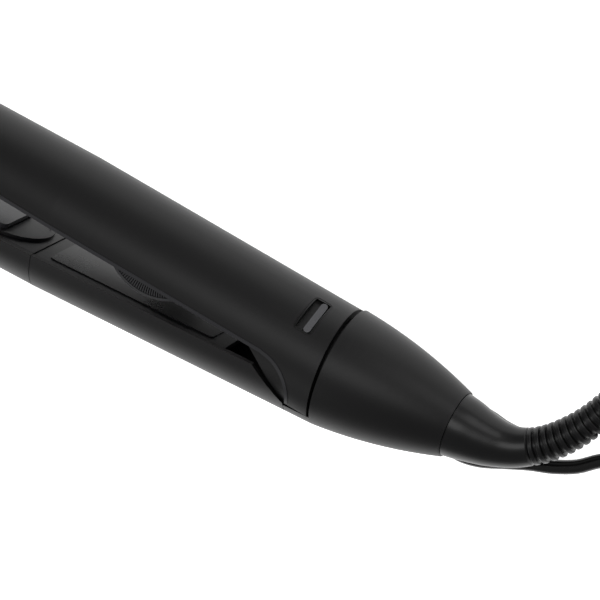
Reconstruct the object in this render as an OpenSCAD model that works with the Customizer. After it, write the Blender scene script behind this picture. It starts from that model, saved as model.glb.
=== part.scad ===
/* [Arms] */
// Outer radius of the round body, closed
body_r = 19.1; // [16:0.1:24]
// Length of the arms, from the tail joint to the tip
arm_l = 215; // [180:1:260]
// Length of the handle part, from the tail joint to the plates' housing
handle_l = 99; // [85:1:120]
// Wall of the housings
wall = 2.2; // [1.6:0.1:3]
// Radius of the body where the tip starts to round
nose_r = 16; // [15.6:0.1:17]
// Rounding of the tip
nose_round = 8; // [5:0.5:10]
// Length of each separate tip cap
tip_l = 6; // [5:0.5:8]
// Space between the arms' rims when closed
rim_gap = 4; // [3:0.1:6]
// Opening of the arms at rest, in degrees
open_angle = 4.5; // [3:0.1:6]

/* [Hinge] */
// Distance of the hinge pin ahead of the tail joint
pin_x = 9.5; // [8:0.1:12]
// Distance of the hinge pin below the body's axis
pin_y = 9; // [8:0.1:10]
// Radius of the hinge pin
pin_r = 2; // [1.5:0.1:2.5]
// Radial running clearance of the pin in the moving ears
pin_fit = 0.05; // [0.02:0.01:0.1]
// Half width of the fixed hinge lug
lug_half_w = 5; // [4:0.5:6]
// Depth of the pin in each moving ear
ear_t = 4; // [3:0.1:4.5]
// Reach of the moving cheek below the body's axis
cheek_drop = 12.4; // [11:0.1:13]
// Radius of the sweep at the end of the upper rim
rim_sweep_r = 12.2; // [11:0.1:12.4]
// Gap to the tail at the top of the joint, at rest
gap_top = 1.7; // [1.2:0.1:2.5]
// Gap to the tail at the bottom of the joint, at rest
gap_bottom = 0.7; // [0.6:0.05:1]

/* [Plates] */
// Length of a heater plate
plate_l = 92; // [80:1:100]
// Width of a heater plate
plate_w = 21; // [18:0.5:22]
// Thickness of a heater plate
plate_t = 4.4; // [3.5:0.1:5]
// How far a plate stands out of its arm
plate_proud = 1.85; // [1.5:0.05:1.9]
// Corner radius of a plate
plate_corner = 2; // [1:0.5:4]
// Clearance round a plate in its frame
plate_fit = 0.4; // [0.3:0.05:0.8]
// Travel of a floating plate
float_travel = 0.8; // [0.5:0.1:1]
// Thickness of the frame round a plate
frame_t = 1.8; // [1.5:0.1:2.2]

/* [Switch] */
// Distance of the rocker ahead of the tail joint
switch_x = 12.5; // [11:0.5:16]
// Place of the rocker round the body, from the side towards the top
switch_angle = 57; // [45:1:70]
// Length of the switch pocket, round the body
pocket_l = 14; // [12:0.5:15]
// Width of the switch pocket, along the body
pocket_w = 6.2; // [5.8:0.1:7]
// Depth of the switch pocket
pocket_d = 1.9; // [1.4:0.1:2.4]
// Length of the rocker blade
rocker_l = 11.8; // [10:0.1:12.5]
// Width of the rocker blade
rocker_w = 2.2; // [1.8:0.1:2.6]
// Clearance round the rocker blade
rocker_fit = 0.3; // [0.25:0.05:0.5]
// Tilt of the rocker to each side, in degrees
rocker_tilt = 4; // [3:0.5:5]

/* [Tail] */
// Length of the tail cone
tail_l = 40; // [34:0.5:50]
// Radius of the curve of the cone's side
tail_curve_r = 160; // [140:5:200]
// Slope of the cone's side at the joint, in degrees
tail_slope = 4.5; // [3:0.1:5]
// Radius of the strain relief's neck in the cone
neck_r = 5; // [4:0.1:6]

/* [Cord] */
// Diameter of the cord
cord_d = 4.5; // [4:0.1:5]
// Radius of the coil at the middle of its turns
coil_r = 27; // [25:0.5:29]
// Width of the coil's ring, four turns side by side
coil_w = 18; // [17:0.5:20]
// Height of the coil's ring, two turns deep
coil_h = 9; // [8.5:0.5:10]

/* [Finger grips] */
// Length of a grip's straight edge
grip_l = 21.7; // [18:0.1:26]
// How far a grip hangs below the upper rim
grip_drop = 3.5; // [2.5:0.1:3.8]
// Distance of a grip's middle from the tail joint
grip_x = 62.7; // [50:0.1:75]

/* [Circuit board] */
// Height of the board above the gap
board_y = 8; // [7:0.1:9]
// Thickness of the board
board_t = 1.6; // [1.2:0.1:1.6]

/* [Hidden] */
$fn = 96;

seat = 0.15;                      // clearance of a cover or frame in its housing
far = 400;                        // longer than anything, for cutting shapes
inner_r = body_r - wall;
nose_x = arm_l - nose_round;
cap_x = arm_l - tip_l;
plate_end = cap_x - 4;            // front end of a plate, from the tail joint
plate_mid = plate_end - plate_l / 2;
cover_end = pin_x + 22;           // rear end of the covers, from the tail joint
cover_t = 1.6;
cover_y = 0.3;                    // how deep the covers sit below the rims
cover_screw_x = [cover_end + 5, handle_l - 6];
cover_screw_z = -12.6;
land_z = 18.5;                    // the body's axis stands this high on its side

// the box of the object without its cord, for the origin
x_mid = (tail_l - arm_l) / 2;
y_top = (nose_x - pin_x) * sin(open_angle) + (nose_r + pin_y) * cos(open_angle) - pin_y;
y_mid = (y_top - body_r) / 2;

// strain relief: points on its middle line, from the tail joint, the axis and the floor,
// with the radius there
relief = [
  [tail_l + 0.15, 0, land_z, 10.2], [44, 0, land_z, 9.6], [48, 0, land_z, 8.7],
  [52, 0.2, 18.4, 7.8], [56, 0.8, 18.2, 6.9], [60, 2, 18, 6.2], [63.5, 3.8, 17.7, 5.8],
  [67, 6.2, 17.3, 5.7], [70, 9, 16.9, 5.6], [72.8, 12.2, 16.4, 5.5], [75.3, 15.6, 15.9, 5.3],
  [77.5, 19.2, 15.3, 5.1], [79.4, 23, 14.7, 4.9], [81, 27, 14, 4.6], [82.3, 31, 13.2, 4.2],
  [83.4, 35, 12.3, 3.8]
];

// cord: points on its middle line, from the tail joint, the axis and the floor
cord_z = 2.3;
route = [
  [83.4, 35, 12.3], [84.5, 39.5, 11.1], [86.2, 45, 9.3], [89, 51, 7], [93.5, 56.5, 4.6],
  [100, 60, 2.9], [108, 60.5, cord_z], [115, 57, cord_z], [119, 50, cord_z], [118.5, 42, cord_z],
  [114, 35.5, cord_z], [107, 31, cord_z], [98, 27.5, cord_z], [89, 23, cord_z],
  [81, 17.2, cord_z], [74, 10.6, cord_z], [67.5, 4.4, cord_z], [60.5, 0.2, cord_z],
  [52, -0.6, cord_z], [45, 0.4, cord_z], [39, 0.2, cord_z], [34.4, -3, cord_z],
  [33, -8, cord_z], [35.2, -12.8, cord_z], [40, -15, cord_z], [47, -14, cord_z],
  [55, -10.6, cord_z], [62, -7.6, cord_z], [69, -5.2, cord_z], [76, -1.6, cord_z],
  [82, 3.4, cord_z], [88, 6.2, cord_z], [95, 6.8, cord_z], [103, 4.8, cord_z],
  [112, -0.6, cord_z], [121, -7.2, cord_z], [130, -12.8, cord_z], [139, -15.8, cord_z],
  [148, -16.5, cord_z], [157, -16.5, cord_z]
];
// from the top turn of the coil up to the plug, which lies on the coil
lead_out = [
  [159, -16.5, 7.2], [166, -15.2, 8.8], [172, -11.2, 11.2], [176, -5.2, 14], [177.5, 1.5, 16.4],
  [177.6, 7, 17.9], [177.5, 12, 18.3]
];
coil_x = 159;
coil_y = 17.25;
coil_low = 0.15;
plug_x = 177.5;
plug_y = 12;
plug_z = 18.3;
plug_r = 9;
plug_l = 34;

// --- frames of the assembly

// from the joint's own coordinates to the stored frame
module placed() translate([-x_mid, -y_mid, land_z]) children();

module on_floor() translate([-x_mid, -y_mid, 0]) children();

// turns the upper arm from closed to its opening at rest
module opened()
  translate([-pin_x, -pin_y, 0]) rotate([0, 0, -open_angle]) translate([pin_x, pin_y, 0]) children();

// the side that the styler lies on is cut to a narrow land
module landed()
  intersection() {
    children();
    translate([-far, -far, -land_z]) cube(2 * far);
  }

// switch frame: Z out of the housing, Y round the body
module at_switch()
  translate([-switch_x, 0, 0]) rotate([-switch_angle, 0, 0]) children();

// --- shapes that repeat

module arm_outline(inset)
  intersection() {
    translate([0, -far]) square([far, far]);
    union() {
      polygon([[0, 0], [body_r - inset, 0], [body_r - inset, -handle_l],
               [nose_r - inset, -nose_x], [0, -nose_x]]);
      translate([nose_r - nose_round, -nose_x]) circle(nose_round - inset);
      translate([0, inset - arm_l]) square([nose_r - nose_round, nose_round]);
    }
  }

// the whole round body as a solid, smaller by inset
module arm_solid(inset = 0) rotate([0, 90, 0]) rotate_extrude() arm_outline(inset);

module arm_shell()
  difference() {
    arm_solid();
    arm_solid(wall);
    translate([-1, 0, 0]) rotate([0, 90, 0]) cylinder(r = inner_r, h = 2);
  }

// a plan outline, X along the body and Y across the gap, cut right through the body
module through() translate([0, 0, -far / 2]) linear_extrude(far) children();

// a slab across the body between two distances from the tail joint and two heights
module slab(from, to, low, high, half_w)
  translate([-to, low, -half_w]) cube([to - from, high - low, 2 * half_w]);

module rounded_plate(l, w, t, corner)
  rotate([90, 0, 0]) translate([0, 0, -t]) linear_extrude(t) {
    square([l - 2 * corner, w], center = true);
    square([l, w - 2 * corner], center = true);
    for (sx = [-1, 1], sy = [-1, 1])
      translate([sx * (l / 2 - corner), sy * (w / 2 - corner)]) circle(corner);
  }

// side = 1 draws the upper arm's piece, side = -1 mirrors it for the lower arm
module arm_side(side)
  translate([0, -rim_gap / 2, 0]) mirror([0, side < 0 ? 1 : 0, 0]) translate([0, rim_gap / 2, 0])
    children();

module cover_screws(side)
  arm_side(side) for (x = cover_screw_x) translate([-x, cover_y - 0.92, cover_screw_z]) rotate([-90, 0, 0])
    difference() {
      union() {
        cylinder(r = 1.9, h = 0.9, $fn = 48);
        cylinder(r = 0.95, h = 4.5, $fn = 48);
      }
      translate([-1.4, -0.25, -0.1]) cube([2.8, 0.5, 0.6]);
      translate([-0.25, -1.4, -0.1]) cube([0.5, 2.8, 0.6]);
    }

// --- pieces that both arms have

module plate_frame(side)
  difference() {
    union() {
      intersection() {
        arm_side(side) slab(handle_l + 0.3, cap_x - 0.3, 0, frame_t, far);
        arm_solid(wall + seat);
      }
      // raised round-ended lip at the rear of the frame
      arm_side(side) intersection() {
        translate([-handle_l - 16, -0.8, 0]) rotate([-90, 0, 0]) cylinder(r = plate_w / 2 + 3, h = 1);
        slab(handle_l + 0.3, handle_l + 15, -1, 1, far);
      }
    }
    arm_side(side) translate([-plate_mid, -1, 0])
      rounded_plate(plate_l + 2 * plate_fit, plate_w + 2 * plate_fit, frame_t + 2, plate_corner + plate_fit);
    arm_side(side) translate([-handle_l - 16, -2, 0]) rotate([-90, 0, 0])
      cylinder(r = plate_w / 2 + 1.4, h = 1.7);
  }

module heater_plate(side)
  arm_side(side) translate([-plate_mid, 0, 0]) {
    translate([0, -plate_proud, 0]) rounded_plate(plate_l, plate_w, plate_t, plate_corner);
    // flange that the frame holds back
    translate([0, frame_t + 0.3, 0])
      rounded_plate(plate_l + 3, plate_w + 1.6, plate_t - plate_proud - frame_t - 0.3, plate_corner + 1);
  }

heater_y = plate_t - plate_proud;
heater_t = 1.2;
cushion_t = 2;
cushion_y = heater_y + float_travel + 0.05;
carrier_y = cushion_y + cushion_t + 0.05;

module heater(side)
  arm_side(side) translate([-plate_mid, heater_y + 0.02, 0]) rounded_plate(70, 9, heater_t, 1);

module sensor(side)
  arm_side(side) translate([-plate_mid + 37.3, heater_y + 0.02, -5]) rounded_plate(3.5, 2.4, 1.5, 0.6);

// silicone cushions under the plate's two ends, clear of the heater
module cushions(side)
  arm_side(side) for (x = [-42, 42])
    translate([x - plate_mid, cushion_y, 0])
      rounded_plate(5, 12, cushion_t, 1);

module plate_carrier(side)
  arm_side(side) translate([-plate_mid, carrier_y, 0]) {
    rounded_plate(plate_l, 14, 1.5, 2);
    for (x = [-36, 0, 36]) translate([x - 1, 1.4, -5]) cube([2, 1.2, 10]);
  }

module heater_leads(side)
  arm_side(side) for (z = [-8.5, 8.5])
    translate([-plate_mid + 36, 4.2, z]) rotate([0, 90, 0])
      cylinder(r = 0.7, h = plate_mid - 36 - cover_end - 4, $fn = 24);

module inner_cover(side)
  difference() {
    intersection() {
      arm_side(side) slab(cover_end, handle_l, cover_y, cover_y + cover_t, far);
      arm_solid(wall + seat);
    }
    arm_side(side) for (x = cover_screw_x) translate([-x, 0, cover_screw_z]) rotate([-90, 0, 0])
      cylinder(r = 1.1, h = 4);
  }

module tip_cap(side)
  intersection() {
    arm_solid();
    arm_side(side) slab(cap_x + 0.1, arm_l + 1, 0, far, far);
  }

// --- the lower arm and the tail, which are one body

module lower_plan(from, to)
  intersection() {
    polygon([[-far, -rim_gap], [-pin_x - 11.5, -rim_gap], [-pin_x + 0.3, -cheek_drop - 0.6],
             [-pin_x + 0.3, -far], [-far, -far]]);
    translate([-to, -far]) square([to - from, far]);
  }

module lower_housing()
  color("#2b2b2e") placed() landed() intersection() {
    arm_shell();
    through() lower_plan(0, handle_l - 0.1);
  }

module lower_front_shell()
  color("#232326") placed() landed() intersection() {
    arm_shell();
    through() lower_plan(handle_l + 0.1, cap_x);
  }

module lower_tip_cap() color("#1d1d1f") placed() tip_cap(-1);

module lower_inner_cover() color("#1a1a1c") placed() inner_cover(-1);

module rating_label()
  color("#0c0c0e") placed()
    translate([-(handle_l - 33), -rim_gap - 0.25, 2.8]) rounded_plate(58, 21, 0.2, 1.5);

module lower_plate_frame() color("#202022") placed() plate_frame(-1);

module lower_plate_carrier() color("#6d6a60") placed() plate_carrier(-1);

module lower_cushions() color("#b4552d") placed() cushions(-1);

module lower_cover_screws()
  color("#8a8d91") placed() cover_screws(-1);

module lower_heater_leads() color("#a02020") placed() heater_leads(-1);

module thermal_fuse()
  color("#b8b8b0") placed() translate([-74, -rim_gap - 8.5, 0]) rotate([0, 90, 0]) {
    cylinder(r = 2, h = 11, $fn = 32);
    translate([0, 0, -5]) cylinder(r = 0.5, h = 21, $fn = 24);
  }

module hinge_base()
  color("#26262a") placed() difference() {
    union() {
      // tongue under the moving cheek
      landed() intersection() {
        arm_shell();
        translate([-pin_x + 0.5, -far - cheek_drop - 1.3, -far / 2]) cube([pin_x - 0.5, far, far]);
      }
      // lug round the pin, and its root in the tail
      translate([-pin_x, -pin_y, -lug_half_w]) cylinder(r = pin_r + 2.6, h = 2 * lug_half_w);
      translate([-pin_x + 0.6, -body_r + wall / 2, -lug_half_w])
        cube([pin_x - 0.7, body_r - wall / 2 - pin_y, 2 * lug_half_w]);
      translate([-pin_x + 0.6, 1.4 - inner_r, -lug_half_w])
        cube([pin_x + 1.5, inner_r - 1.4 - pin_y, 2 * lug_half_w]);
      translate([0.1, 0, 0]) rotate([0, 90, 0]) cylinder(r = inner_r - 0.6, h = 3);
    }
    translate([-pin_x, -pin_y, -far / 2]) cylinder(r = pin_r, h = far);
    translate([-1, 4, 0]) rotate([0, 90, 0]) cylinder(r = 5, h = 6);
    translate([tail_screw_x[0], 0, -far]) cylinder(r = 1.1, h = far - tail_screw_to, $fn = 48);
  }

ear_from = lug_half_w + 4;        // the springs lie between the lug and the ears
pin_half_l = ear_from + ear_t;

module hinge_pin()
  color("#9a9da1") placed()
    translate([-pin_x, -pin_y, -pin_half_l]) cylinder(r = pin_r, h = 2 * pin_half_l);

// two torsion springs on the pin, one each side of the lug
module arm_springs()
  color("#c0c2c5") placed() for (side = [-1, 1]) translate([-pin_x, -pin_y, 0]) {
    for (turn = [0:2]) translate([0, 0, side * (lug_half_w + 0.75 + 1.1 * turn)])
      rotate_extrude() translate([pin_r + 0.85, 0]) circle(r = 0.6, $fn = 24);
    translate([0, -pin_r - 0.85, side * (lug_half_w + 0.75)]) rotate([0, 90, 0])
      cylinder(r = 0.5, h = 7, $fn = 24);
  }

// radius of the cone's outside at a distance behind the joint
function tail_r(x) =
  body_r + sqrt(pow(tail_curve_r, 2) - pow(x + tail_curve_r * sin(tail_slope), 2))
  - tail_curve_r * cos(tail_slope);
tail_steps = 14;
tail_screw_x = [1.7, 24];         // into the hinge base and into the cord clamp
tail_screw_to = 8;                // how near to the axis the screws reach

module tail_outline(inset)
  polygon([[0, 0], for (i = [0:tail_steps]) let (x = (tail_l - inset) * i / tail_steps)
    [tail_r(x) - inset, x], [0, tail_l - inset]]);

module tail_cone()
  color("#1f1f21") placed() difference() {
    rotate([0, 90, 0]) rotate_extrude() tail_outline(0);
    translate([-0.01, 0, 0]) rotate([0, 90, 0]) rotate_extrude() tail_outline(wall);
    rotate([0, 90, 0]) cylinder(r = neck_r + 0.15, h = far);
    for (x = tail_screw_x) translate([x, 0, -far]) cylinder(r = 1.2, h = far - tail_screw_to, $fn = 48);
    translate([-1, -body_r / 2, -land_z - 2]) cube([tail_l / 2, body_r, 2]);
  }

module tail_screws()
  color("#8a8d91") placed() for (x = tail_screw_x)
    translate([x, 0, 0.5 - min(tail_r(x), land_z)]) difference() {
      cylinder(r = 1.05, h = min(tail_r(x), land_z) - 0.5 - tail_screw_to, $fn = 48);
      translate([-0.2, -0.8, -0.1]) cube([0.4, 1.6, 0.5]);
      translate([-0.8, -0.2, -0.1]) cube([1.6, 0.4, 0.5]);
    }

module cord_clamp()
  color("#3a3a3e") placed() difference() {
    translate([20, -6, -10.6]) cube([8, 12, 18.6]);
    translate([19, 0, 0]) rotate([0, 90, 0]) cylinder(r = cord_d / 2 + 0.1, h = 10);
    translate([tail_screw_x[1], 0, -far]) cylinder(r = 1.1, h = far - tail_screw_to, $fn = 48);
  }

module supply_wires()
  color("#7a4a28") placed() for (z = [-1, 1])
    translate([4, 4, z * 1.3]) rotate([0, 90, 0]) cylinder(r = 0.9, h = 15, $fn = 24);

// --- soft pieces: swept tubes

function dir(p, i) =
  let (a = p[max(i - 1, 0)], b = p[min(i + 1, len(p) - 1)], d = [b[0] - a[0], b[1] - a[1], b[2] - a[2]])
  d / norm(d);
function ring(p, i, r, sides) =
  let (t = dir(p, i), u = cross([0, 0, 1], t) / norm(cross([0, 0, 1], t)), v = cross(t, u))
  [for (k = [0:sides - 1]) let (a = 360 * k / sides)
    [p[i][0], p[i][1], p[i][2]] + r * (cos(a) * u + sin(a) * v)];

module tube(p, radii, sides) {
  n = len(p);
  points = [for (i = [0:n - 1]) each ring(p, i, radii[i], sides)];
  sides_of = [for (i = [0:n - 2], k = [0:sides - 1]) let (j = (k + 1) % sides)
    [i * sides + k, (i + 1) * sides + k, (i + 1) * sides + j, i * sides + j]];
  caps = [[for (k = [0:sides - 1]) k], [for (k = [sides - 1:-1:0]) (n - 1) * sides + k]];
  polyhedron(points, concat(sides_of, caps), convexity = 8);
}

module strain_relief()
  color("#151517") {
    on_floor() tube(relief, [for (q = relief) q[3]], 12);
    placed() translate([tail_l - wall - 6, 0, 0]) rotate([0, 90, 0])
      cylinder(r = neck_r, h = wall + 6.3);
  }

// --- the cord and what is on it

// points halfway along a smooth curve through the route, so that its bends stay round
function soft(p, i, t) =
  let (a = p[max(i - 1, 0)], b = p[i], c = p[i + 1], d = p[min(i + 2, len(p) - 1)])
  0.5 * (2 * b + (c - a) * t + (2 * a - 5 * b + 4 * c - d) * t * t + (3 * b - a - 3 * c + d) * t * t * t);
smooth_route = [for (i = [0:len(route) - 2], t = [0, 0.5]) soft(route, i, t), route[len(route) - 1]];

module cord()
  color("#0f0f10") on_floor() {
    tube(smooth_route, [for (q = smooth_route) cord_d / 2], 8);
    tube(lead_out, [for (q = lead_out) cord_d / 2], 8);
  }

module cord_coil()
  color("#0f0f10") on_floor() translate([coil_x, coil_y, coil_low + coil_h / 2])
    rotate_extrude() translate([coil_r, 0]) square([coil_w, coil_h], center = true);

// strap over the coil, open below
module coil_tie()
  color("#050505") on_floor() translate([coil_x - 4, coil_y + coil_r - coil_w / 2 - 1.3, 0.05])
    difference() {
      cube([8, coil_w + 2.1, coil_low + coil_h + 1]);
      translate([-1, 0.7, -1]) cube([10, coil_w + 0.7, coil_low + coil_h + 1.2]);
    }

module plug_body()
  color("#121213") on_floor() translate([plug_x, plug_y, plug_z]) rotate([-90, 0, 0]) {
    cylinder(r1 = 4.5, r2 = plug_r, h = 12);
    translate([0, 0, 12]) cylinder(r = plug_r, h = plug_l - 12);
  }

module plug_pins()
  color("#c9b37e") on_floor() for (side = [-1, 1])
    translate([plug_x, plug_y + plug_l, plug_z]) rotate([-90, 0, 0])
      translate([side * 5.5, 0, 0]) cylinder(r = 2, h = 19, $fn = 32);

// --- the upper arm

module upper_plan()
  difference() {
    union() {
      translate([-cap_x, 0]) square([cap_x + 10, far]);
      translate([-pin_x - 10.9, -cheek_drop]) square([pin_x + 20, cheek_drop + 1]);
    }
    translate([-pin_x - 10.9, -cheek_drop]) circle(rim_sweep_r);
  }

// the part of the cheek that shows inside the rim's sweep
module cheek_plan()
  polygon([[-pin_x - 16.5, 0.5], [-pin_x - 12, -2.6], [-pin_x + 0.6, -cheek_drop], [-pin_x + 4, -cheek_drop],
           [-pin_x + 2, 0.5]]);

// what the tail and its gap take away, in the pose at rest
module tail_gap()
  through() polygon([[-gap_bottom, -far], [-gap_bottom, -cheek_drop],
                     [-gap_top, body_r], [-gap_top, far], [far, far], [far, -far]]);

module switch_hole(extra)
  at_switch() translate([0, 0, inner_r - 6]) linear_extrude(12) {
    square([pocket_w + extra - 3, pocket_l + extra], center = true);
    square([pocket_w + extra, pocket_l + extra - 3], center = true);
    for (sx = [-1, 1], sy = [-1, 1])
      translate([sx * ((pocket_w + extra) / 2 - 1.5), sy * ((pocket_l + extra) / 2 - 1.5)]) circle(1.5, $fn = 32);
  }

module upper_housing()
  color("#242427") placed() landed() difference() {
    opened() difference() {
      union() {
        intersection() {
          arm_shell();
          through() upper_plan();
        }
        intersection() {
          difference() {
            arm_solid(0.9);
            arm_solid(wall + 0.8);
          }
          through() cheek_plan();
        }
        // blind ears round the pin's two ends
        intersection() {
          for (side = [0, 1]) mirror([0, 0, side])
            translate([-pin_x, -pin_y, ear_from]) cylinder(r = pin_r + 0.75, h = ear_t + 2);
          arm_solid(0.9);
        }
      }
      switch_hole(0);
      translate([-pin_x, -pin_y, -pin_half_l - 0.15])
        cylinder(r = pin_r + pin_fit, h = 2 * pin_half_l + 0.3);
    }
    tail_gap();
  }

module upper_tip_cap() color("#1d1d1f") placed() opened() tip_cap(1);

module upper_inner_cover() color("#1a1a1c") placed() opened() inner_cover(1);

module upper_plate_frame() color("#202022") placed() opened() plate_frame(1);

module upper_plate_carrier() color("#6d6a60") placed() opened() plate_carrier(1);

module upper_cushions() color("#b4552d") placed() opened() cushions(1);

module upper_cover_screws()
  color("#8a8d91") placed() opened() cover_screws(1);

module upper_heater_leads() color("#a02020") placed() opened() heater_leads(1);

grip_r = (grip_l * grip_l / 4 + grip_drop * grip_drop) / (2 * grip_drop);

// ribbed segments that hang from the upper rim, one each side
module finger_grips()
  color("#2e2e32") placed() landed() opened() for (side = [-1, 1]) intersection() {
    translate([-grip_x, grip_r - grip_drop, side > 0 ? 14 : -18]) cylinder(r = grip_r, h = 4);
    slab(grip_x - grip_l, grip_x + grip_l, -grip_drop - 1, 0, far);
    arm_solid(0.5);
  }

module circuit_board()
  color("#1f5a34") placed() opened() translate([-62, board_y, 0]) rounded_plate(52, 24, board_t, 1);

module board_components()
  color("#2a2a2a") placed() opened() {
    translate([-84, board_y + board_t + 0.02, -7]) cube([15, 4.2, 9]);
    translate([-64, board_y + board_t + 0.02, -4]) cube([7, 1.4, 7]);
    translate([-50, board_y + board_t + 0.02, 4]) rotate([-90, 0, 0]) cylinder(r = 2.5, h = 4.4, $fn = 48);
    translate([-50, board_y + board_t + 0.02, -4]) rotate([-90, 0, 0]) cylinder(r = 2.5, h = 4.4, $fn = 48);
    translate([-43, board_y + board_t + 0.02, -3]) cube([4, 2, 6]);
  }

blade_x = pocket_w / 2 - rocker_w / 2 - 0.95;  // the blade stands at the pocket's rear side

module switch_bezel()
  color("#19191b") placed() opened() difference() {
    intersection() {
      switch_hole(-0.2);
      at_switch() translate([-10, -10, body_r - 4]) cube(20);
      rotate([0, -90, 0]) cylinder(r = body_r - 0.1, h = far);
    }
    // dished pocket
    at_switch() translate([-pocket_w / 2 + 0.55, -pocket_l / 2 + 0.7, body_r - 0.4 - pocket_d])
      cube([pocket_w - 1.1, pocket_l - 1.4, 10]);
    at_switch() translate([blade_x - rocker_w / 2 - rocker_fit, -rocker_l / 2 - 0.45, body_r - 10])
      cube([rocker_w + 2 * rocker_fit, rocker_l + 0.9, 20]);
  }

pivot_z = body_r - 6.4;

module rocker()
  color("#4a4a4e") placed() opened() at_switch() translate([blade_x, 0, pivot_z])
    rotate([rocker_tilt, 0, 0]) {
      translate([-rocker_w / 2, -rocker_l / 2 + rocker_w / 2, 0]) cube([rocker_w, rocker_l - rocker_w, 5.7]);
      for (side = [-1, 1]) translate([0, side * (rocker_l - rocker_w) / 2, 1.6]) cylinder(r = rocker_w / 2, h = 4.1);
      translate([-2.4, 0, 0]) rotate([0, 90, 0]) cylinder(r = 1, h = 4.8, $fn = 48);
    }

module switch_body()
  color("#101012") placed() opened() at_switch() difference() {
    translate([blade_x - 3.6, -7.2, pivot_z - 3.4]) cube([7.2, 14.4, 5.4]);
    translate([blade_x - rocker_w / 2 - 0.35, -6.6, pivot_z - 1.6]) cube([rocker_w + 0.7, 13.2, 8]);
    translate([blade_x - 2.6, 0, pivot_z]) rotate([0, 90, 0]) cylinder(r = 1.05, h = 5.2, $fn = 48);
    translate([blade_x - 2.6, -1.05, pivot_z]) cube([5.2, 2.1, 4]);
  }

// --- the floating plates

module lower_plate() color("#3b3b40") placed() heater_plate(-1);

module lower_heater() color("#d8d4c8") placed() heater(-1);

module lower_sensor() color("#8c2f2f") placed() sensor(-1);

module upper_plate() color("#3b3b40") placed() opened() heater_plate(1);

module upper_heater() color("#d8d4c8") placed() opened() heater(1);

module upper_sensor() color("#8c2f2f") placed() opened() sensor(1);

lower_housing();
lower_front_shell();
lower_tip_cap();
lower_inner_cover();
rating_label();
lower_plate_frame();
lower_plate_carrier();
lower_cushions();
lower_cover_screws();
lower_heater_leads();
thermal_fuse();
hinge_base();
hinge_pin();
arm_springs();
tail_cone();
tail_screws();
cord_clamp();
supply_wires();
strain_relief();
cord();
cord_coil();
coil_tie();
plug_body();
plug_pins();
upper_housing();
upper_tip_cap();
upper_inner_cover();
upper_plate_frame();
upper_plate_carrier();
upper_cushions();
upper_cover_screws();
upper_heater_leads();
finger_grips();
circuit_board();
board_components();
switch_bezel();
switch_body();
lower_plate();
lower_heater();
lower_sensor();
upper_plate();
upper_heater();
upper_sensor();
rocker();
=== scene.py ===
"""Hair styler with two hinged arms, floating plates and a mains lead, lying on its side.

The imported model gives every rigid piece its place. This script dresses those pieces and makes
what the model leaves plain: the lead and its coil, the ribbed strain relief, the moulded finger
grips, the raised trim along the moving arm and the smooth tail cone.
"""
import logging
import math
from dataclasses import dataclass, field
from enum import Enum

import bmesh
import bpy
from mathutils import Matrix, Vector

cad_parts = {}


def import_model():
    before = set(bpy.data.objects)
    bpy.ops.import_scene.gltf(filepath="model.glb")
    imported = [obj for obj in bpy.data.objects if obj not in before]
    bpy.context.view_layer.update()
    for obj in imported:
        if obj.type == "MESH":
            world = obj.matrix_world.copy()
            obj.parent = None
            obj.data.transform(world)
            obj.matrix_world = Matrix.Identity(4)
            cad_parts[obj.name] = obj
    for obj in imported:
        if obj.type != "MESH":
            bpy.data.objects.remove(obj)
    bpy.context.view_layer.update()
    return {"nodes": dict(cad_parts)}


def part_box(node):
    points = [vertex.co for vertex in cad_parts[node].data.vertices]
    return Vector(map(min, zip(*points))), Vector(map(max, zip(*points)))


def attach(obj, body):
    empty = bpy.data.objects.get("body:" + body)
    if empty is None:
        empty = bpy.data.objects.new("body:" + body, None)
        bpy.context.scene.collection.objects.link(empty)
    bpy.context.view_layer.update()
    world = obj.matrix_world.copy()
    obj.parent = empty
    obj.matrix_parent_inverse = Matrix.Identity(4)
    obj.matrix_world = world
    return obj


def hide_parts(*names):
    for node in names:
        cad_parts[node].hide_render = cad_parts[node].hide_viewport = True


LOG = logging.getLogger("styler")
MM = 0.001
Point = tuple[float, float, float]
FLOOR_GAP = 0.02         # how far pieces under the arm stay above the floor, in millimetres
MIX_FIRST, MIX_SECOND, MIX_RESULT = 6, 7, 2    # the colour sockets of a Mix node


class Body(Enum):
    """The moving bodies that a piece can ride on."""

    BASE = "base"
    ARM = "upper_arm"


@dataclass(frozen=True)
class Finish:
    """One surface finish: its shader constants and how strong its texture is.

    Attributes:
        slot: The record's material slot that this finish belongs to.
        colour: Linear base colour.
        worn: Linear colour of the rubbed or dusty patches.
        roughness: Middle value of the roughness.
        metallic: 0 for plastics and rubber, 1 for bare metal.
        coat: Weight of a clear, glossy top layer.
        specular: How strongly the surface mirrors light, 0.5 for common plastics.
        grain_size: Distance between two bumps of the grain, in millimetres.
        grain_depth: Height of the grain, in millimetres.
        patchiness: How much of the worn colour shows, from 0 to 1.
    """

    slot: str
    colour: Point
    worn: Point
    roughness: float = 0.5
    metallic: float = 0.0
    coat: float = 0.0
    specular: float = 0.2
    grain_size: float = 0.5
    grain_depth: float = 0.01
    patchiness: float = 0.15


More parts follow.
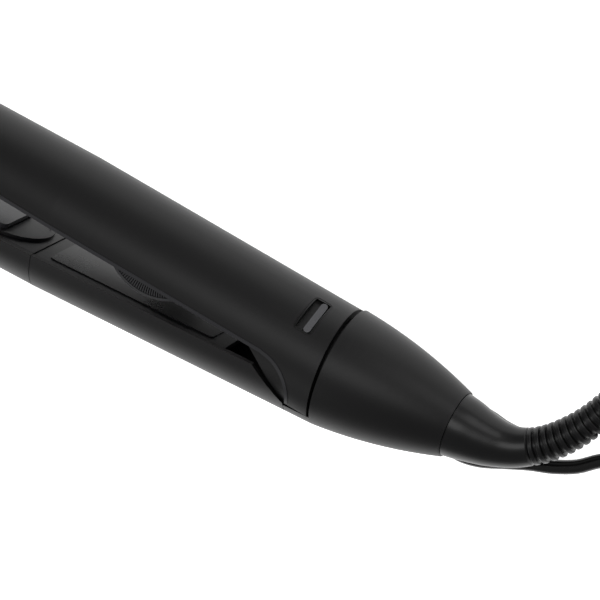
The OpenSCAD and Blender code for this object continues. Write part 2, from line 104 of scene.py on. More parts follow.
FINISHES = (
    Finish("matte_shell", (0.0035, 0.0034, 0.0036), (0.009, 0.0088, 0.009), 0.45, grain_size=0.35,
           grain_depth=0.012),
    Finish("inner_cover", (0.003, 0.003, 0.0035), (0.008, 0.008, 0.009), 0.4, grain_size=0.5,
           grain_depth=0.008),
    Finish("label", (0.004, 0.004, 0.005), (0.012, 0.012, 0.013), 0.28, grain_depth=0.001),
    Finish("insulator", (0.35, 0.33, 0.28), (0.25, 0.23, 0.2), 0.7, grain_depth=0.02),
    Finish("silicone", (0.45, 0.14, 0.07), (0.4, 0.16, 0.1), 0.55),
    Finish("steel", (0.55, 0.56, 0.58), (0.4, 0.4, 0.41), 0.3, metallic=1.0, grain_depth=0.003),
    Finish("wire", (0.3, 0.07, 0.04), (0.2, 0.06, 0.04), 0.45),
    Finish("relief", (0.003, 0.003, 0.0032), (0.008, 0.008, 0.008), 0.34, coat=0.05, grain_size=0.8,
           grain_depth=0.004),
    Finish("cord", (0.003, 0.003, 0.003), (0.007, 0.007, 0.007), 0.25, coat=0.15, grain_size=2.0,
           grain_depth=0.006),
    Finish("tie", (0.008, 0.008, 0.009), (0.02, 0.02, 0.02), 0.6, grain_size=0.3, grain_depth=0.02),
    Finish("plug", (0.01, 0.01, 0.011), (0.022, 0.022, 0.023), 0.4, grain_depth=0.006),
    Finish("pins", (0.72, 0.6, 0.38), (0.5, 0.42, 0.28), 0.22, metallic=1.0, grain_depth=0.002),
    Finish("grip", (0.016, 0.016, 0.018), (0.03, 0.03, 0.032), 0.38, grain_depth=0.004),
    Finish("board", (0.02, 0.12, 0.05), (0.03, 0.16, 0.07), 0.4, grain_depth=0.002),
    Finish("components", (0.02, 0.02, 0.022), (0.05, 0.05, 0.05), 0.45),
    Finish("switch_plastic", (0.003, 0.003, 0.003), (0.008, 0.008, 0.008), 0.42, grain_depth=0.005),
    Finish("rocker", (0.06, 0.06, 0.064), (0.085, 0.085, 0.09), 0.28, coat=0.3, grain_depth=0.002),
    Finish("plate", (0.03, 0.03, 0.034), (0.05, 0.05, 0.055), 0.25, metallic=0.4, grain_depth=0.001),
    Finish("ceramic", (0.75, 0.72, 0.66), (0.6, 0.57, 0.52), 0.55),
    Finish("sensor", (0.3, 0.05, 0.05), (0.2, 0.05, 0.05), 0.4),
)


class Texture:
    """The two shader node groups that every finish shares."""

    def __init__(self) -> None:
        """Builds both groups once."""
        self.grain = self._grain()
        self.patches = self._patches()

    @staticmethod
    def _group(name: str, inputs: dict[str, float], outputs: tuple[str, ...]) -> bpy.types.NodeTree:
        """Makes an empty group with number sockets.

        Args:
            name: The group's name.
            inputs: Each input's name and default value.
            outputs: The names of the outputs.

        Returns:
            The group, with its input and output nodes placed.
        """
        tree = bpy.data.node_groups.new(name, "ShaderNodeTree")
        for title, value in inputs.items():
            socket = tree.interface.new_socket(title, in_out="INPUT", socket_type="NodeSocketFloat")
            socket.default_value = value
        for title in outputs:
            tree.interface.new_socket(title, in_out="OUTPUT", socket_type="NodeSocketFloat")
        tree.nodes.new("NodeGroupInput")
        tree.nodes.new("NodeGroupOutput")
        return tree

    def _grain(self) -> bpy.types.NodeTree:
        """Fine moulded grain.

        Returns:
            A group with inputs Size and Depth, both in metres, and output Height in metres.
        """
        tree = self._group("moulded_grain", {"Size": 0.0005, "Depth": 0.00001}, ("Height",))
        start, end = tree.nodes["Group Input"], tree.nodes["Group Output"]
        coordinates = tree.nodes.new("ShaderNodeTexCoord")
        noise = tree.nodes.new("ShaderNodeTexNoise")
        noise.inputs["Detail"].default_value = 3.0
        noise.inputs["Roughness"].default_value = 0.6
        density = tree.nodes.new("ShaderNodeMath")
        density.operation = "DIVIDE"
        density.inputs[0].default_value = 1.0
        height = tree.nodes.new("ShaderNodeMath")
        height.operation = "MULTIPLY"
        tree.links.new(start.outputs["Size"], density.inputs[1])
        tree.links.new(coordinates.outputs["Object"], noise.inputs["Vector"])
        tree.links.new(density.outputs[0], noise.inputs["Scale"])
        tree.links.new(noise.outputs["Fac"], height.inputs[0])
        tree.links.new(start.outputs["Depth"], height.inputs[1])
        tree.links.new(height.outputs[0], end.inputs["Height"])
        return tree

    def _patches(self) -> bpy.types.NodeTree:
        """Broad, faint rubbed patches with fine specks of dust.

        Returns:
            A group with input Amount and outputs Mask and Roughness, which is added to a finish's own.
        """
        tree = self._group("handling_marks", {"Amount": 0.2}, ("Mask", "Roughness"))
        start, end = tree.nodes["Group Input"], tree.nodes["Group Output"]
        coordinates = tree.nodes.new("ShaderNodeTexCoord")
        broad = tree.nodes.new("ShaderNodeTexNoise")
        broad.inputs["Scale"].default_value = 45.0
        broad.inputs["Detail"].default_value = 4.0
        specks = tree.nodes.new("ShaderNodeTexNoise")
        specks.inputs["Scale"].default_value = 2600.0
        ramp = tree.nodes.new("ShaderNodeMapRange")
        ramp.inputs["From Min"].default_value = 0.64
        ramp.inputs["From Max"].default_value = 0.74
        both = tree.nodes.new("ShaderNodeMath")
        both.operation = "ADD"
        mask = tree.nodes.new("ShaderNodeMath")
        mask.operation = "MULTIPLY"
        mask.use_clamp = True
        change = tree.nodes.new("ShaderNodeMath")
        change.operation = "MULTIPLY"
        change.inputs[1].default_value = 0.25
        for noise in (broad, specks):
            tree.links.new(coordinates.outputs["Object"], noise.inputs["Vector"])
        tree.links.new(specks.outputs["Fac"], ramp.inputs["Value"])
        tree.links.new(broad.outputs["Fac"], both.inputs[0])
        tree.links.new(ramp.outputs["Result"], both.inputs[1])
        tree.links.new(both.outputs[0], mask.inputs[0])
        tree.links.new(start.outputs["Amount"], mask.inputs[1])
        tree.links.new(mask.outputs[0], change.inputs[0])
        tree.links.new(mask.outputs[0], end.inputs["Mask"])
        tree.links.new(change.outputs[0], end.inputs["Roughness"])
        return tree


class Paints:
    """Makes each finish's material once and gives it to pieces."""

    def __init__(self) -> None:
        """Builds every material."""
        self.texture = Texture()
        self.made = {finish.slot: self._material(finish) for finish in FINISHES}

    def _material(self, finish: Finish) -> bpy.types.Material:
        """Makes one material.

        Args:
            finish: The finish to make.

        Returns:
            A Principled material with grain, handling marks and a colour that varies.
        """
        material = bpy.data.materials.new(f"{finish.slot}_finish")
        material.use_nodes = True
        nodes, links = material.node_tree.nodes, material.node_tree.links
        shader = nodes["Principled BSDF"]
        shader.inputs["Metallic"].default_value = finish.metallic
        shader.inputs["Coat Weight"].default_value = finish.coat
        shader.inputs["Specular IOR Level"].default_value = finish.specular
        shader.inputs["Coat Roughness"].default_value = 0.2
        marks = nodes.new("ShaderNodeGroup")
        marks.node_tree = self.texture.patches
        marks.inputs["Amount"].default_value = finish.patchiness
        colour = nodes.new("ShaderNodeMix")
        colour.data_type = "RGBA"
        colour.inputs[MIX_FIRST].default_value = (*finish.colour, 1.0)
        colour.inputs[MIX_SECOND].default_value = (*finish.worn, 1.0)
        rough = nodes.new("ShaderNodeMath")
        rough.inputs[1].default_value = finish.roughness - 0.02
        grain = nodes.new("ShaderNodeGroup")
        grain.node_tree = self.texture.grain
        grain.inputs["Size"].default_value = finish.grain_size * MM
        grain.inputs["Depth"].default_value = finish.grain_depth * MM
        bump = nodes.new("ShaderNodeBump")
        bump.inputs["Distance"].default_value = 1.0
        links.new(marks.outputs["Mask"], colour.inputs[0])
        links.new(colour.outputs[MIX_RESULT], shader.inputs["Base Color"])
        links.new(marks.outputs["Roughness"], rough.inputs[0])
        links.new(rough.outputs[0], shader.inputs["Roughness"])
        links.new(grain.outputs["Height"], bump.inputs["Height"])
        links.new(bump.outputs["Normal"], shader.inputs["Normal"])
        return material

    def dress(self, piece: bpy.types.Object, slot: str) -> None:
        """Gives a piece one finish all over.

        Args:
            piece: The piece.
            slot: The record's material slot.
        """
        if piece.material_slots:
            for own in piece.material_slots:
                own.material = self.made[slot]
        else:
            piece.data.materials.append(self.made[slot])


@dataclass
class Place:
    """Where the styler lies in the row frame, found from the tail cone's box.

    Attributes:
        open_angle: How far the moving arm stands open at rest, in degrees.
        pin_x: The hinge pin's distance from the tail joint, in millimetres.
        pin_y: The hinge pin's depth below the axis, in millimetres.
    """

    open_angle: float = 4.5
    pin_x: float = 9.5
    pin_y: float = 9.0
    origin: Vector = field(init=False)
    body_r: float = field(init=False)

    def __post_init__(self) -> None:
        """Finds the tail joint's centre and the body's radius."""
        low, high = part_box("tail_cone")
        radius = (high[1] - low[1]) / 2
        self.origin = Vector((low[0], low[1] + radius, high[2] - radius))
        self.body_r = radius / MM

    def body(self, x: float, y: float, z: float) -> Vector:
        """A point of the fixed body, from the tail joint and the axis, in millimetres."""
        return self.origin + Vector((x, y, z)) * MM

    def arm(self, x: float, y: float, z: float) -> Vector:
        """A point of the moving arm, given where it is when closed, in millimetres."""
        turn = -math.radians(self.open_angle)
        dx, dy = x + self.pin_x, y + self.pin_y
        return self.body(dx * math.cos(turn) - dy * math.sin(turn) - self.pin_x,
                         dx * math.sin(turn) + dy * math.cos(turn) - self.pin_y, z)

    def floor(self, x: float, y: float, z: float) -> Vector:
        """A point given from the tail joint, the axis and the floor, in millimetres."""
        return Vector((self.origin.x + x * MM, self.origin.y + y * MM, z * MM))


def smooth_line(points: list[Vector], steps: int) -> list[Vector]:
    """Runs a smooth curve through points.

    Args:
        points: The points to pass through.
        steps: How many stretches to make between two of them.

    Returns:
        The curve's points, first and last ones included.
    """
    line: list[Vector] = []
    for i in range(len(points) - 1):
        before = points[max(i - 1, 0)]
        start, end = points[i], points[i + 1]
        after = points[min(i + 2, len(points) - 1)]
        for step in range(steps):
            t = step / steps
            line.append(0.5 * (2 * start + (end - before) * t
                               + (2 * before - 5 * start + 4 * end - after) * t * t
                               + (3 * start - before - 3 * end + after) * t ** 3))
    return [*line, points[-1].copy()]


def new_piece(name: str, mesh: bpy.types.Mesh) -> bpy.types.Object:
    """Puts a mesh in the scene as an object at the origin."""
    piece = bpy.data.objects.new(name, mesh)
    bpy.context.scene.collection.objects.link(piece)
    return piece


def solid(name: str, points: list[Vector], faces: list[tuple[int, ...]], flat_above: float = 35.0
          ) -> bpy.types.Object:
    """Makes a closed mesh with its faces outwards.

    Args:
        name: The piece's name.
        points: The corners, in the row frame.
        faces: The corners' numbers, face by face.
        flat_above: Edges that turn more than this, in degrees, stay sharp.

    Returns:
        The object.
    """
    mesh = bpy.data.meshes.new(name)
    mesh.from_pydata([tuple(p) for p in points], [], faces)
    work = bmesh.new()
    work.from_mesh(mesh)
    bmesh.ops.remove_doubles(work, verts=work.verts, dist=1e-7)
    bmesh.ops.recalc_face_normals(work, faces=work.faces)
    work.to_mesh(mesh)
    work.free()
    mesh.shade_smooth()
    mesh.set_sharp_from_angle(angle=math.radians(flat_above))
    return new_piece(name, mesh)


def sweep(name: str, line: list[Vector], radii: list[float], sides: int) -> bpy.types.Object:
    """Makes a round tube of varying radius along a line.

    Args:
        name: The piece's name.
        line: The middle line, in the row frame.
        radii: The radius at each of its points, in metres.
        sides: How many points go round the tube.

    Returns:
        The closed tube.
    """
    points: list[Vector] = []
    across = Vector((0.0, 0.0, 1.0))
    for i, middle in enumerate(line):
        along = (line[min(i + 1, len(line) - 1)] - line[max(i - 1, 0)]).normalized()
        across = (across - along * across.dot(along)).normalized()
        other = along.cross(across)
        for k in range(sides):
            turn = 2 * math.pi * k / sides
            points.append(middle + radii[i] * (math.cos(turn) * across + math.sin(turn) * other))
    faces = [(i * sides + k, i * sides + (k + 1) % sides,
              (i + 1) * sides + (k + 1) % sides, (i + 1) * sides + k)
             for i in range(len(line) - 1) for k in range(sides)]
    faces += [tuple(range(sides)), tuple((len(line) - 1) * sides + k for k in range(sides))]
    return solid(name, points, faces)


def round_edges(piece: bpy.types.Object, width: float, steps: int = 2) -> None:
    """Rounds a piece's sharp edges.

    Args:
        piece: The piece.
        width: The round's width, in millimetres.
        steps: How many faces make the round.
    """
    bevel = piece.modifiers.new("rounded", "BEVEL")
    bevel.width = width * MM
    bevel.segments = steps
    bevel.limit_method = "ANGLE"
    bevel.angle_limit = math.radians(35)
    bevel.harden_normals = True


class RibTree:
    """Geometry Nodes that put ribs along a curve, as wide as the curve's own radius says."""

    def __init__(self) -> None:
        """Builds the tree with inputs Pitch, Thickness and Finish."""
        tree = bpy.data.node_groups.new("ribs_along_curve", "GeometryNodeTree")
        face = tree.interface
        face.new_socket("Geometry", in_out="INPUT", socket_type="NodeSocketGeometry")
        self.pitch = face.new_socket("Pitch", in_out="INPUT", socket_type="NodeSocketFloat").identifier
        self.thick = face.new_socket("Thickness", in_out="INPUT",
                                     socket_type="NodeSocketFloat").identifier
        self.paint = face.new_socket("Finish", in_out="INPUT",
                                     socket_type="NodeSocketMaterial").identifier
        face.new_socket("Geometry", in_out="OUTPUT", socket_type="NodeSocketGeometry")
        node = tree.nodes.new
        start, end = node("NodeGroupInput"), node("NodeGroupOutput")
        spaced = node("GeometryNodeResampleCurve")
        spaced.mode = "LENGTH"
        tangent = node("GeometryNodeInputTangent")
        turned = node("FunctionNodeAlignRotationToVector")
        turned.axis = "Z"
        disc = node("GeometryNodeMeshCylinder")
        disc.inputs["Vertices"].default_value = 48
        disc.inputs["Radius"].default_value = 1.0
        disc.inputs["Depth"].default_value = 1.0
        radius = node("GeometryNodeInputRadius")
        size = node("ShaderNodeCombineXYZ")
        put = node("GeometryNodeInstanceOnPoints")
        real = node("GeometryNodeRealizeInstances")
        paint = node("GeometryNodeSetMaterial")
        link = tree.links.new
        link(start.outputs[0], spaced.inputs["Curve"])
        link(start.outputs["Pitch"], spaced.inputs["Length"])
        link(tangent.outputs[0], turned.inputs["Vector"])
        link(radius.outputs[0], size.inputs["X"])
        link(radius.outputs[0], size.inputs["Y"])
        link(start.outputs["Thickness"], size.inputs["Z"])
        link(spaced.outputs[0], put.inputs["Points"])
        link(disc.outputs["Mesh"], put.inputs["Instance"])
        link(turned.outputs[0], put.inputs["Rotation"])
        link(size.outputs[0], put.inputs["Scale"])
        link(put.outputs[0], real.inputs[0])
        link(real.outputs[0], paint.inputs["Geometry"])
        link(start.outputs["Finish"], paint.inputs["Material"])
        link(paint.outputs[0], end.inputs[0])
        self.tree = tree

    def ribs(self, name: str, line: list[Vector], radii: list[float], pitch: float, thickness: float,
             material: bpy.types.Material) -> bpy.types.Object:
        """Makes the ribs along one line as a plain mesh.

        Args:
            name: The piece's name.
            line: The middle line, in the row frame.
            radii: The ribs' radius along it, in metres.
            pitch: Distance from rib to rib, in metres.
            thickness: One rib's thickness, in metres.
            material: What the ribs are made of.

        Returns:
            The ribs.
        """
        path = bpy.data.curves.new(f"{name}_path", "CURVE")
        path.dimensions = "3D"
        spline = path.splines.new("POLY")
        spline.points.add(len(line) - 1)
        for point, place, radius in zip(spline.points, line, radii):
            point.co = (*place, 1.0)
            point.radius = radius
        holder = bpy.data.objects.new(f"{name}_path", path)
        bpy.context.scene.collection.objects.link(holder)
        nodes = holder.modifiers.new("ribs", "NODES")
        nodes.node_group = self.tree
        nodes[self.pitch] = pitch
        nodes[self.thick] = thickness
        nodes[self.paint] = material
        ready = holder.evaluated_get(bpy.context.evaluated_depsgraph_get())
        mesh = bpy.data.meshes.new_from_object(ready)
        bpy.data.objects.remove(holder)
        mesh.shade_smooth()
        mesh.set_sharp_from_angle(angle=math.radians(35))
        return new_piece(name, mesh)


@dataclass
class Lead:
    """The mains lead: a free stretch on the floor, a tied coil, and its way up to the plug.

    Attributes:
        diameter: The lead's diameter, in millimetres.
        length: Its whole length, in metres. Not used.
        route: Points on its middle line, from the tail joint, the axis and the floor.
        lead_out: Points from the coil's top turn up to the plug.
        coil_middle: The coil's middle point on the floor.
        coil_r: The radius of the middle of the turns.
        layer_turns: Turns side by side in one layer.
        coil_low: How high the coil's underside is.
        turn_steps: Points in one turn.
        jog: The part of a turn in which the lead moves to the next row.
        climb_at: Where in the innermost turn the lead climbs to the upper layer.
        upper_jog_at: Where in a turn of the upper layer the lead moves one row outwards.
    """

    diameter: float = 4.5
    length: float = 1.52
    route: tuple[Point, ...] = (
        (83.4, 35, 12.3), (84.5, 39.5, 11.1), (86.2, 45, 9.3), (89, 51, 7), (93.5, 56.5, 4.6),
        (100, 60, 2.9), (108, 60.5, 2.3), (115, 57, 2.3), (119, 50, 2.3), (118.5, 42, 2.3),
        (114, 35.5, 2.3), (107, 31, 2.3), (98, 27.5, 2.3), (89, 23, 2.3), (81, 17.2, 2.3),
        (74, 10.6, 2.3), (67.5, 4.4, 2.3), (60.5, 0.2, 2.3), (52, -0.6, 2.3), (45, 0.4, 2.3),
        (39, 0.2, 2.3), (34.4, -3, 2.3), (33, -8, 2.3), (35.2, -12.8, 2.3), (40, -15, 2.3),
        (47, -14, 2.3), (55, -10.6, 2.3), (62, -7.6, 2.3), (69, -5.2, 2.3), (76, -1.6, 2.3),
        (82, 3.4, 2.3), (88, 6.2, 2.3), (95, 6.8, 2.3), (103, 4.8, 2.3), (112, -0.6, 2.3),
        (121, -7.2, 2.3), (130, -12.8, 2.3), (139, -15.8, 2.3), (148, -16.5, 2.3),
        (157, -16.5, 2.3),
    )
    lead_out: tuple[Point, ...] = (
        (166, -15.2, 8.8), (172, -11.2, 11.2), (176, -5.2, 14), (177.5, 1.5, 16.4),
        (177.6, 7, 17.9), (177.5, 12, 18.3),
    )
    coil_middle: tuple[float, float] = (159.0, 17.25)
    coil_r: float = 27.0
    layer_turns: int = 4
    coil_low: float = 0.15
    turn_steps: int = 48
    jog: float = 0.125
    climb_at: float = 0.75
    upper_jog_at: float = 0.625

    def row(self, turns: float) -> tuple[float, float]:
        """Which row and layer the lead is in.

        Args:
            turns: How many turns lie behind this point.

        Returns:
            The row, 0 outside and layer_turns - 1 inside, and the layer, 0 below and 1 above.
        """
        inner = self.layer_turns - 1
        climb = min(max((turns - (inner + self.climb_at)) / self.jog, 0.0), 1.0)
        if climb < 1.0:
            whole = min(math.floor(turns), inner)
            step = min(max((turns - whole - 1 + self.jog) / self.jog, 0.0), 1.0)
            return min(whole + step, float(inner)), climb
        whole = math.floor(turns - self.upper_jog_at)
        step = min(max((turns - self.upper_jog_at - whole) / self.jog, 0.0), 1.0)
        return max(inner - (whole - inner - 1 + step), 0.0) if turns > inner + 1 else float(inner), 1.0

    def coil(self, place: Place) -> list[Vector]:
        """The points of the coil's turns.

        Args:
            place: Where the styler lies.

        Returns:
            Points from the end of the free stretch to the top turn's end.
        """
        points: list[Vector] = []
        outer = self.coil_r + (self.layer_turns - 1) * self.diameter / 2
        turns = 2 * self.layer_turns - 1
        for i in range(turns * self.turn_steps + 1):
            at = i / self.turn_steps
            row, layer = self.row(at)
            radius = outer - row * self.diameter
            angle = 2 * math.pi * at - math.pi / 2
            points.append(place.floor(self.coil_middle[0] + radius * math.cos(angle),
                                      self.coil_middle[1] + radius * math.sin(angle),
                                      self.coil_low + self.diameter * (0.5 + layer)))
        return points

    def build(self, place: Place, paints: Paints) -> list[bpy.types.Object]:
        """Args:
            place: Where the styler lies.
            paints: The finishes.

        Returns:
            The lead.
        """
        free = smooth_line([place.floor(*p) for p in self.route], 4)
        wound = self.coil(place)
        out = smooth_line([wound[-1], *(place.floor(*p) for p in self.lead_out)], 4)
        line = [*free, *wound, *out[1:]]
        curve = bpy.data.curves.new("supply_cord", "CURVE")
        curve.dimensions = "3D"
        curve.bevel_depth = self.diameter / 2 * MM
        curve.bevel_resolution = 4
        curve.use_fill_caps = True
        spline = curve.splines.new("POLY")
        spline.points.add(len(line) - 1)
        spline.use_smooth = True
        for point, middle in zip(spline.points, line):
            point.co = (*middle, 1.0)
        cord = bpy.data.objects.new("supply_cord", curve)
        bpy.context.scene.collection.objects.link(cord)
        paints.dress(cord, "cord")
        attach(cord, Body.BASE.value)
        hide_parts("cord", "cord_coil")
        return [cord]


@dataclass
class Relief:
    """The moulded horn that the lead leaves by, smooth at the tail and ribbed beyond.

    Attributes:
        shape: Points on its middle line, from the tail joint, the axis and the floor, with radii.
        smooth_points: How many of those points the smooth part has.
        pitch: Distance from rib to rib.
        thickness: One rib's thickness.
        depth: How deep the grooves between the ribs are.
        rib_round: The rounding of a rib's edges.
        steps: Stretches of the smooth line between two points of the shape.
    """

    shape: tuple[tuple[float, float, float, float], ...] = (
        (40.15, 0, 18.5, 10.2), (44, 0, 18.5, 9.6), (48, 0, 18.5, 8.7), (52, 0.2, 18.4, 7.8),
        (56, 0.8, 18.2, 6.9), (60, 2, 18, 6.2), (63.5, 3.8, 17.7, 5.8), (67, 6.2, 17.3, 5.7),
        (70, 9, 16.9, 5.6), (72.8, 12.2, 16.4, 5.5), (75.3, 15.6, 15.9, 5.3),
        (77.5, 19.2, 15.3, 5.1), (79.4, 23, 14.7, 4.9), (81, 27, 14, 4.6), (82.3, 31, 13.2, 4.2),
        (83.4, 35, 12.3, 3.8),
    )
    smooth_points: int = 7
    pitch: float = 2.45
    thickness: float = 1.5
    depth: float = 1.25
    rib_round: float = 0.4
    steps: int = 6

    def build(self, place: Place, paints: Paints, ribs: RibTree) -> list[bpy.types.Object]:
        """Makes the horn and its ribs.

        Args:
            place: Where the styler lies.
            paints: The finishes.
            ribs: The tree that places ribs.

        Returns:
            The core and the ribs.
        """
        line = smooth_line([place.floor(x, y, z) for x, y, z, _ in self.shape], self.steps)
        radii = [v.x for v in smooth_line([Vector((r, 0, 0)) for *_, r in self.shape], self.steps)]
        first = (self.smooth_points - 1) * self.steps
        core_radii = [r if i < first else r - min(1.0, (i - first) / 2) * self.depth
                      for i, r in enumerate(radii)]
        core = sweep("relief_core", line, [r * MM for r in core_radii], 48)
        rings = ribs.ribs("relief_ribs", line[first + 2:-3], [r * MM for r in radii[first + 2:-3]],
                          self.pitch * MM, self.thickness * MM, paints.made["relief"])
        round_edges(rings, self.rib_round, 3)
        paints.dress(core, "relief")
        for piece in (core, rings):
            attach(piece, Body.BASE.value)
        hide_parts("strain_relief")
        return [core, rings]


@dataclass
class FingerGrips:
    """Ribbed segments on both sides of the moving arm, each with a smooth band on its round edge.

    Attributes:
        x: The segment's middle, from the tail joint.
        length: Its straight edge's length.
        drop: How far it hangs below the rim.
        recess: How far it lies inside the body's outside.
        ribs: How many ribs it has.
        band: The smooth band's width.
        band_steps: How many straight pieces make the band.
        rib_reach: How far a rib may reach inwards from the round edge.
        rib_gap: The gap between the band and the ribs.
        rib_lift: How far a rib stands proud.
        band_lift: How far the band stands proud.
        root: How far both reach into the segment.
    """

    x: float = 62.7
    length: float = 21.7
    drop: float = 3.5
    recess: float = 0.45
    ribs: int = 27
    band: float = 0.8
    band_steps: int = 36
    rib_reach: float = 5.5
    rib_gap: float = 0.25
    rib_lift: float = 0.32
    band_lift: float = 0.25
    root: float = 0.8

    def build(self, place: Place, paints: Paints) -> list[bpy.types.Object]:
        """Makes the ribs and bands of both segments.

        Args:
            place: Where the styler lies.
            paints: The finishes.

        Returns:
            One piece of ribs and one of bands.
        """
        radius = (self.length ** 2 / 4 + self.drop ** 2) / (2 * self.drop)
        centre = radius - self.drop
        half = math.degrees(math.asin(self.length / 2 / radius))
        made = []
        for name, inner, outer, lift, pieces, share in (
                ("grip_ribs", self.rib_reach, self.band + self.rib_gap, self.rib_lift, self.ribs, 0.5),
                ("grip_bands", self.band, 0.0, self.band_lift, self.band_steps, 1.0)):
            points: list[Vector] = []
            faces: list[tuple[int, ...]] = []
            for side in (1, -1):
                for k in range(pieces):
                    start = -half + 2 * half * (k + (1 - share) / 2) / pieces
                    turn = 2 * half * share / pieces
                    first = len(points)
                    for angle in (start, start + turn):
                        near = math.radians(angle)
                        for deep in (inner, outer):
                            reach = radius - deep
                            if deep == self.rib_reach:
                                reach = max(reach, (centre + 0.1) / math.cos(near))
                                reach = min(reach, radius - self.band - 0.3)
                            dx, dy = reach * math.sin(near), centre - reach * math.cos(near)
                            outside = math.sqrt((place.body_r - self.recess) ** 2 - dy * dy)
                            top = outside + (lift if side > 0 else 0.0)
                            top = min(top, place.origin.z / MM - FLOOR_GAP) if side < 0 else top
                            for z in (outside - self.root, top):
                                points.append(place.arm(dx - self.x, dy, side * z))
                    a, b, c, d, e, f, g, h = range(first, first + 8)
                    faces += [(a, b, d, c), (e, f, h, g), (a, b, f, e), (c, d, h, g), (a, c, g, e),
                              (b, d, h, f)]
            piece = solid(name, points, faces)
            paints.dress(piece, "grip")
            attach(piece, Body.ARM.value)
            made.append(piece)
        return made


@dataclass
class RimTrim:
    """The raised strip along the moving arm's rim, which sweeps down round its hinge end.

    Attributes:
        width: The strip's width.
        lift: How far it stands proud of the housing.
        front: Its front end, from the tail joint.
        sweep_x: The sweep's centre, from the tail joint.
        sweep_y: The sweep's centre below the axis.
        sweep_r: The sweep's radius.
        handle_l: Where the handle's straight part ends.
        nose_r: The body's radius at the nose.
        nose_x: The nose's distance from the tail joint.
        root: How far the strip reaches into the housing.
        straight_steps: Stretches along the straight rim.
        sweep_steps: Stretches round the sweep.
    """

    width: float = 1.1
    lift: float = 0.16
    front: float = 203.0
    sweep_x: float = 20.4
    sweep_y: float = 12.4
    sweep_r: float = 12.25
    handle_l: float = 99.0
    nose_r: float = 16.0
    nose_x: float = 207.0
    root: float = 0.4
    straight_steps: int = 40
    sweep_steps: int = 24

    def outside(self, x: float, place: Place) -> float:
        """The body's radius at a distance in front of the tail joint, in millimetres."""
        share = max(0.0, (-x - self.handle_l) / (self.nose_x - self.handle_l))
        return place.body_r + (self.nose_r - place.body_r) * share

    def build(self, place: Place, paints: Paints) -> list[bpy.types.Object]:
        """Makes the strip on both sides of the arm.

        Args:
            place: Where the styler lies.
            paints: The finishes.

        Returns:
            The strip.
        """
        edge: list[tuple[float, float, float, float]] = []
        for i in range(self.straight_steps + 1):
            edge.append((-self.front + (self.front - self.sweep_x) * i / self.straight_steps,
                         0.02, 0.0, 1.0))
        for i in range(1, self.sweep_steps + 1):
            turn = math.radians(90 - 88 * i / self.sweep_steps)
            edge.append((-self.sweep_x + self.sweep_r * math.cos(turn),
                         -self.sweep_y + self.sweep_r * math.sin(turn),
                         math.cos(turn), math.sin(turn)))
        points: list[Vector] = []
        faces: list[tuple[int, ...]] = []
        for side in (1, -1):
            first = len(points)
            for x, y, across, up in edge:
                for reach in (0.0, self.width):
                    px, py = x + across * reach, y + up * reach
                    surface = math.sqrt(self.outside(px, place) ** 2 - py * py)
                    for lift in (-self.root, self.lift):
                        high = surface + lift
                        if side < 0:
                            high = min(high, place.origin.z / MM - FLOOR_GAP)
                        points.append(place.arm(px, py, side * high))
            for i in range(len(edge) - 1):
                a = first + 4 * i
                b = a + 4
                faces += [(a, b, b + 1, a + 1), (a + 1, b + 1, b + 3, a + 3),
                          (a + 3, b + 3, b + 2, a + 2), (a + 2, b + 2, b, a)]
            last = first + 4 * (len(edge) - 1)
            faces += [(first, first + 1, first + 3, first + 2), (last, last + 1, last + 3, last + 2)]
        strip = solid("rim_trim", points, faces)
        paints.dress(strip, "grip")
        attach(strip, Body.ARM.value)
        return [strip]


@dataclass
class GapCollar:
    """The dark neck between the two arms and the tail cone, which closes the view through the gap.

    Attributes:
        radius: The neck's radius, clear of the moving arm's wall.
        front: How far it reaches in front of the tail joint.
        rear: Its rear end, against the hinge base.
        sides: How many points go round it.
    """

    radius: float = 15.0
    front: float = -2.4
    rear: float = 0.1
    sides: int = 64

    def build(self, place: Place, paints: Paints) -> list[bpy.types.Object]:
        """Makes the neck.

        Args:
            place: Where the styler lies.
            paints: The finishes.

        Returns:
            The neck.
        """
        line = [place.body(self.front, 0, 0), place.body(self.rear, 0, 0)]
        neck = sweep("gap_collar", line, [self.radius * MM] * 2, self.sides)
        paints.dress(neck, "matte_shell")
        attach(neck, Body.BASE.value)
        return [neck]


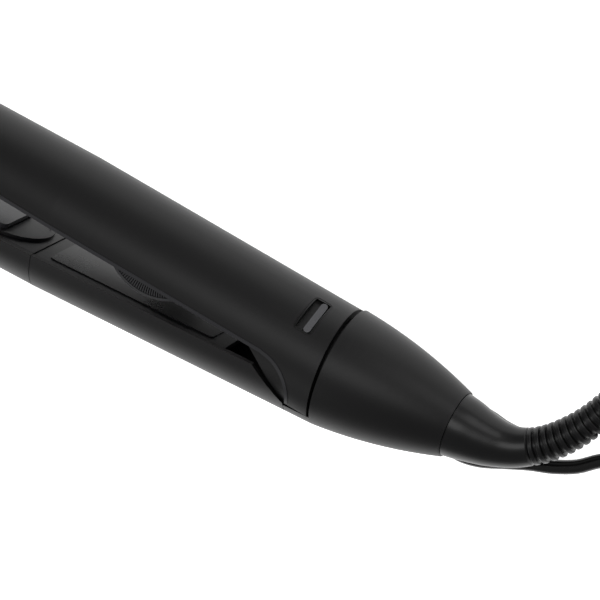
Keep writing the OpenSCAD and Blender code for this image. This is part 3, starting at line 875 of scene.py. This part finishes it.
class Housings:
    """The rigid parts of the model, given their finishes, and the tail cone's smooth shading."""

    SLOTS = {
        "matte_shell": ("lower_housing", "lower_front_shell", "lower_tip_cap", "tail_cone",
                        "hinge_base", "upper_housing", "upper_tip_cap"),
        "inner_cover": ("lower_inner_cover", "lower_plate_frame", "upper_inner_cover",
                        "upper_plate_frame"),
        "label": ("rating_label",),
        "insulator": ("lower_plate_carrier", "upper_plate_carrier", "cord_clamp"),
        "silicone": ("lower_cushions", "upper_cushions"),
        "steel": ("lower_cover_screws", "upper_cover_screws", "hinge_pin", "arm_springs",
                  "tail_screws", "thermal_fuse"),
        "wire": ("lower_heater_leads", "upper_heater_leads", "supply_wires"),
        "tie": ("coil_tie",),
        "plug": ("plug_body",),
        "pins": ("plug_pins",),
        "grip": ("finger_grips",),
        "board": ("circuit_board",),
        "components": ("board_components",),
        "switch_plastic": ("switch_bezel", "switch_body"),
        "rocker": ("rocker",),
        "plate": ("lower_plate", "upper_plate"),
        "ceramic": ("lower_heater", "upper_heater"),
        "sensor": ("lower_sensor", "upper_sensor"),
    }
    SMOOTHED = {"tail_cone": Body.BASE}

    def build(self, nodes: dict[str, bpy.types.Object], paints: Paints) -> list[bpy.types.Object]:
        """Dresses every rigid node and replaces the tail cone with a smooth-shaded copy.

        Args:
            nodes: The model's nodes by name.
            paints: The finishes.

        Returns:
            The copies.
        """
        for slot, names in self.SLOTS.items():
            for name in names:
                paints.dress(nodes[name], slot)
        made = []
        for name, body in self.SMOOTHED.items():
            mesh = bpy.data.meshes.new(f"{name}_skin")
            work = bmesh.new()
            work.from_mesh(nodes[name].data)
            bmesh.ops.remove_doubles(work, verts=work.verts, dist=2e-6)
            bmesh.ops.dissolve_degenerate(work, edges=work.edges, dist=1e-6)
            work.to_mesh(mesh)
            work.free()
            mesh.shade_smooth()
            mesh.set_sharp_from_angle(angle=math.radians(28))
            mesh.materials.clear()
            piece = new_piece(f"{name}_skin", mesh)
            paints.dress(piece, "matte_shell")
            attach(piece, body.value)
            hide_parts(name)
            made.append(piece)
        return made


@dataclass
class Studio:
    """A white floor, soft lights and the camera.

    Attributes:
        target: What the camera looks at, from the row frame's origin, in metres.
        towards: The direction from the styler to the camera.
        roll: How far the picture is turned, in degrees.
        distance: How far away the camera is, in metres.
        angle: The camera's field of view, in degrees.
        floor_half: Half the floor's width, in metres.
    """

    target: Vector = field(default_factory=lambda: Vector((0.0684, 0.0079, 0.0184)))
    towards: Vector = field(default_factory=lambda: Vector((0.262, 0.362, 0.895)).normalized())
    roll: float = 26.0
    distance: float = 1.2
    angle: float = 8.66
    floor_half: float = 3.0

    def camera(self) -> None:
        """Makes the camera and makes it the scene's own."""
        back = self.towards
        right = (Vector((1, 0, 0)) - back * back.x).normalized()
        up = back.cross(right)
        turn = math.radians(self.roll)
        image_right = math.cos(turn) * right + math.sin(turn) * up
        image_up = back.cross(image_right)
        data = bpy.data.cameras.new("camera")
        data.sensor_fit = "HORIZONTAL"
        data.angle = math.radians(self.angle)
        data.clip_start = 0.05
        camera = bpy.data.objects.new("camera", data)
        turned = Matrix((image_right, image_up, back)).transposed().to_4x4()
        camera.matrix_world = Matrix.Translation(self.target + back * self.distance) @ turned
        bpy.context.scene.collection.objects.link(camera)
        bpy.context.scene.camera = camera

    def light(self, name: str, place: Point, size: tuple[float, float], power: float) -> None:
        """Adds one soft box that faces the styler.

        Args:
            name: The light's name.
            place: Where it hangs, in metres.
            size: Its width and height, in metres.
            power: Its power, in watts.
        """
        data = bpy.data.lights.new(name, "AREA")
        data.shape = "RECTANGLE"
        data.size, data.size_y = size
        data.energy = power
        lamp = bpy.data.objects.new(name, data)
        away = (Vector(place) - self.target).normalized()
        lamp.matrix_world = (Matrix.Translation(place)
                             @ away.to_track_quat("Z", "Y").to_matrix().to_4x4())
        bpy.context.scene.collection.objects.link(lamp)

    def build(self) -> None:
        """Makes the floor, the lights and the white surroundings."""
        half = self.floor_half
        mesh = bpy.data.meshes.new("floor")
        mesh.from_pydata([(-half, -half, 0), (half, -half, 0), (half, half, 0), (-half, half, 0)],
                         [], [(0, 1, 2, 3)])
        paper = bpy.data.materials.new("white_floor")
        paper.use_nodes = True
        shader = paper.node_tree.nodes["Principled BSDF"]
        shader.inputs["Base Color"].default_value = (0.9, 0.9, 0.9, 1)
        shader.inputs["Roughness"].default_value = 0.9
        shader.inputs["Emission Color"].default_value = (1, 1, 1, 1)
        shader.inputs["Emission Strength"].default_value = 1.0
        mesh.materials.append(paper)
        new_piece("floor", mesh)
        world = bpy.data.worlds.new("white_room")
        world.use_nodes = True
        world.node_tree.nodes["Background"].inputs["Color"].default_value = (1, 1, 1, 1)
        world.node_tree.nodes["Background"].inputs["Strength"].default_value = 0.35
        bpy.context.scene.world = world
        bpy.context.scene.view_settings.view_transform = "Standard"
        self.light("top_box", (0.05, 0.35, 1.1), (0.7, 0.5), 5.0)
        self.light("rear_box", (0.5, 0.9, 0.5), (0.6, 0.5), 3.0)
        self.light("front_box", (-0.5, -0.7, 0.9), (0.6, 0.6), 2.5)


def main() -> None:
    """Builds everything in order and reports each piece."""
    logging.basicConfig(level=logging.INFO, format="%(name)s: %(message)s")
    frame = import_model()
    studio = Studio()
    studio.camera()
    place = Place()
    paints = Paints()
    ribs = RibTree()
    pieces = Lead().build(place, paints)
    pieces += Relief().build(place, paints, ribs)
    pieces += Housings().build(frame["nodes"], paints)
    pieces += GapCollar().build(place, paints)
    pieces += FingerGrips().build(place, paints)
    pieces += RimTrim().build(place, paints)
    studio.build()
    for piece in pieces:
        LOG.info("%s made", piece.name)
    bpy.context.view_layer.update()


if __name__ == "__main__":
    main()
